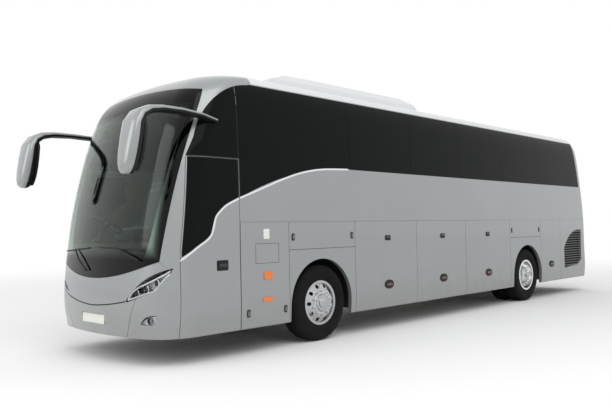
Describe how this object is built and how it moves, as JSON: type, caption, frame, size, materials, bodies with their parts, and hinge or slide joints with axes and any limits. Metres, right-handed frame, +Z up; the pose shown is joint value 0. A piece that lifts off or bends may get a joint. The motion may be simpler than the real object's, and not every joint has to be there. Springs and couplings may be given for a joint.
{
  "type": "coach bus",
  "caption": "Single-deck touring coach with raked wraparound windscreen, tinted glass band, under-floor luggage hold, outswinging entrance door and twin rear wheels.",
  "frame": {"origin": "on the ground below the middle of the overall length and width", "axes": "+X towards the vehicle's left, -Y towards its front, +Z up"},
  "size_m": [2.93, 12.2183, 3.741],
  "materials": {
    "silver_paint": "metallic silver coach paint, semi gloss",
    "roof_paint": "pale silver paint",
    "window_glass": "dark tinted bonded glass",
    "windscreen_glass": "lightly tinted laminated glass",
    "lamp_clear": "clear lamp lens",
    "lamp_red": "red lamp lens",
    "frame_steel": "black chassis paint",
    "axle_iron": "dusty black casting",
    "black_plastic": "black moulded plastic",
    "floor_vinyl": "grey safety vinyl",
    "seat_fabric": "dark blue moquette",
    "wheel_alloy": "polished forged alloy",
    "tyre_rubber": "black tyre rubber",
    "spring_rubber": "ribbed black rubber",
    "mirror_silver": "mirror",
    "arm_steel": "satin steel"
  },
  "bodies": {
    "coach_body": {"underframe": "frame_steel", "cabin_floor": "floor_vinyl", "wheel_liners": "black_plastic", "side_wall_left": "silver_paint", "side_wall_right": "silver_paint", "skirts_left": "silver_paint", "skirts_right": "silver_paint", "side_grilles": "black_plastic", "window_glass": "window_glass", "roof": "roof_paint", "roof_pod": "roof_paint", "front_mask": "silver_paint", "windscreen": "windscreen_glass", "front_panel": "silver_paint", "front_bumper": "silver_paint", "front_lamps": "lamp_clear", "rear_wall": "silver_paint", "rear_bumper": "silver_paint", "rear_lamps": "lamp_red", "mirrors": "silver_paint", "mirror_glasses": "mirror_silver", "engine": "axle_iron", "seats": "seat_fabric", "dashboard": "black_plastic", "steering_wheel": "black_plastic", "air_springs": "spring_rubber", "front_axle": "axle_iron", "rear_axle": "axle_iron"},
    "knuckle_left": {"knuckle_left": "axle_iron"},
    "knuckle_right": {"knuckle_right": "axle_iron"},
    "tie_rod": {"tie_rod": "arm_steel"},
    "wheel_front_left": {"front_rim_left": "wheel_alloy", "front_tyre_left": "tyre_rubber"},
    "wheel_front_right": {"front_rim_right": "wheel_alloy", "front_tyre_right": "tyre_rubber"},
    "wheel_rear_left": {"rear_rims_left": "wheel_alloy", "rear_tyres_left": "tyre_rubber"},
    "wheel_rear_right": {"rear_rims_right": "wheel_alloy", "rear_tyres_right": "tyre_rubber"},
    "door_arm": {"door_arm": "arm_steel"},
    "entrance_door": {"entrance_door": "silver_paint", "entrance_door_glass": "window_glass"},
    "engine_lid": {"engine_lid": "silver_paint"},
    "luggage_door_left_1": {"luggage_door_left_1": "silver_paint"},
    "luggage_door_left_2": {"luggage_door_left_2": "silver_paint"},
    "luggage_door_left_3": {"luggage_door_left_3": "silver_paint"},
    "luggage_door_right_1": {"luggage_door_right_1": "silver_paint"},
    "luggage_door_right_2": {"luggage_door_right_2": "silver_paint"},
    "luggage_door_right_3": {"luggage_door_right_3": "silver_paint"}
  },
  "joints": [
    {"name": "steer_left", "type": "hinge", "parent": "coach_body", "child": "knuckle_left", "pos_m": [0.88, -3.0575, 0.522], "axis": [0, 0, 1], "range_deg": [-45, 45]},
    {"name": "steer_right", "type": "hinge", "parent": "coach_body", "child": "knuckle_right", "pos_m": [-0.88, -3.0575, 0.522], "axis": [0, 0, 1], "range_deg": [-45, 45]},
    {"name": "tie_rod_swing", "type": "hinge", "parent": "knuckle_left", "child": "tie_rod", "pos_m": [0.88, -2.8075, 0.47], "axis": [0, 0, 1], "range_deg": [-45, 45]},
    {"name": "front_left_spin", "type": "hinge", "parent": "knuckle_left", "child": "wheel_front_left", "pos_m": [1.091, -3.0575, 0.522], "axis": [1, 0, 0], "continuous": true},
    {"name": "rear_left_spin", "type": "hinge", "parent": "coach_body", "child": "wheel_rear_left", "pos_m": [1.091, 3.0725, 0.522], "axis": [1, 0, 0], "continuous": true},
    {"name": "front_right_spin", "type": "hinge", "parent": "knuckle_right", "child": "wheel_front_right", "pos_m": [-1.091, -3.0575, 0.522], "axis": [1, 0, 0], "continuous": true},
    {"name": "rear_right_spin", "type": "hinge", "parent": "coach_body", "child": "wheel_rear_right", "pos_m": [-1.091, 3.0725, 0.522], "axis": [1, 0, 0], "continuous": true},
    {"name": "door_arm_swing", "type": "hinge", "parent": "coach_body", "child": "door_arm", "pos_m": [1.125, -5.2825, 1.2], "axis": [0, 0, -1], "range_deg": [0, 145]},
    {"name": "door_leaf_turn", "type": "hinge", "parent": "door_arm", "child": "entrance_door", "pos_m": [1.125, -4.7525, 1.2], "axis": [0, 0, -1], "range_deg": [-145, 0]},
    {"name": "luggage_left_1_lift", "type": "hinge", "parent": "coach_body", "child": "luggage_door_left_1", "pos_m": [1.2705, -1.5765, 1.6367], "axis": [0, -1, 0], "range_deg": [0, 90]},
    {"name": "luggage_left_2_lift", "type": "hinge", "parent": "coach_body", "child": "luggage_door_left_2", "pos_m": [1.2705, -0.053, 1.6367], "axis": [0, -1, 0], "range_deg": [0, 90]},
    {"name": "luggage_left_3_lift", "type": "hinge", "parent": "coach_body", "child": "luggage_door_left_3", "pos_m": [1.2705, 1.521, 1.6367], "axis": [0, -1, 0], "range_deg": [0, 90]},
    {"name": "luggage_right_1_lift", "type": "hinge", "parent": "coach_body", "child": "luggage_door_right_1", "pos_m": [-1.2705, -1.5765, 1.6367], "axis": [0, 1, 0], "range_deg": [0, 90]},
    {"name": "luggage_right_2_lift", "type": "hinge", "parent": "coach_body", "child": "luggage_door_right_2", "pos_m": [-1.2705, -0.053, 1.6367], "axis": [0, 1, 0], "range_deg": [0, 90]},
    {"name": "luggage_right_3_lift", "type": "hinge", "parent": "coach_body", "child": "luggage_door_right_3", "pos_m": [-1.2705, 1.521, 1.6367], "axis": [0, 1, 0], "range_deg": [0, 90]},
    {"name": "engine_lid_lift", "type": "hinge", "parent": "coach_body", "child": "engine_lid", "pos_m": [0, 6.095, 1.6367], "axis": [1, 0, 0], "range_deg": [0, 80]}
  ],
  "couplings": [
    {"joint": "steer_right", "follows": "steer_left", "ratio": 1},
    {"joint": "tie_rod_swing", "follows": "steer_left", "ratio": -1},
    {"joint": "door_leaf_turn", "follows": "door_arm_swing", "ratio": -1}
  ]
}
